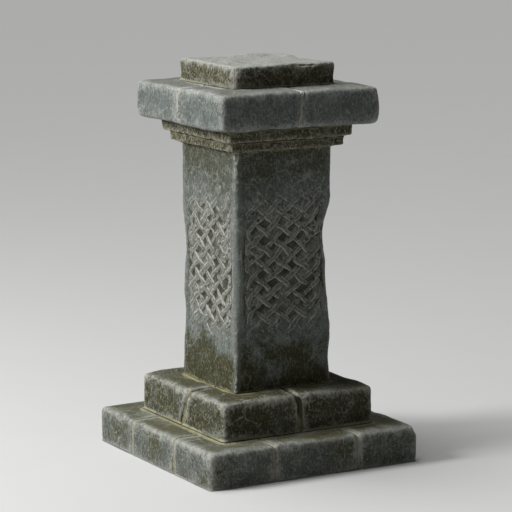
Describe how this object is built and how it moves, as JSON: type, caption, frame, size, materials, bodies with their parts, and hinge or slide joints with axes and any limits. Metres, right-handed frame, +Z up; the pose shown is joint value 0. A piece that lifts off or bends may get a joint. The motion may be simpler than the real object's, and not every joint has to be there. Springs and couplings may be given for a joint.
{
  "type": "stone pillar",
  "caption": "Free-standing square stone pillar: two stepped courses, a shaft carved with plain knotwork, stepped mouldings, a thick cap and a top slab, all worn.",
  "frame": {"origin": "centre of the underside of the lower step", "axes": "+Z up along the shaft; -Y is the front face and -X the left face, the two faces that the picture shows"},
  "size_m": [0.894, 0.894, 1.5],
  "materials": {
    "step_stone": "weathered grey-green stone with pale worn edges and moss stain",
    "shaft_stone": "weathered grey stone, carved, with olive stain at top and bottom",
    "moulding_stone": "pitted, lichen-stained stone",
    "cap_stone": "smooth worn blue-grey stone",
    "top_stone": "coarse pitted sides with a smooth worn top"
  },
  "bodies": {
    "root": {"cap_back_left": "cap_stone", "cap_back_right": "cap_stone", "cap_front_left": "cap_stone", "cap_front_right": "cap_stone", "carved_shaft": "shaft_stone", "cornice_corner_back_left": "moulding_stone", "cornice_corner_back_right": "moulding_stone", "cornice_corner_front_left": "moulding_stone", "cornice_corner_front_right": "moulding_stone", "cornice_middle_back": "moulding_stone", "cornice_middle_front": "moulding_stone", "cornice_middle_left": "moulding_stone", "cornice_middle_right": "moulding_stone", "lower_step_corner_back_left": "step_stone", "lower_step_corner_back_right": "step_stone", "lower_step_corner_front_left": "step_stone", "lower_step_corner_front_right": "step_stone", "lower_step_middle_back": "step_stone", "lower_step_middle_front": "step_stone", "lower_step_middle_left": "step_stone", "lower_step_middle_right": "step_stone", "neck_slab": "moulding_stone", "top_slab": "top_stone", "upper_step_back_left": "step_stone", "upper_step_back_right": "step_stone", "upper_step_front_left": "step_stone", "upper_step_front_right": "step_stone"}
  },
  "joints": []
}
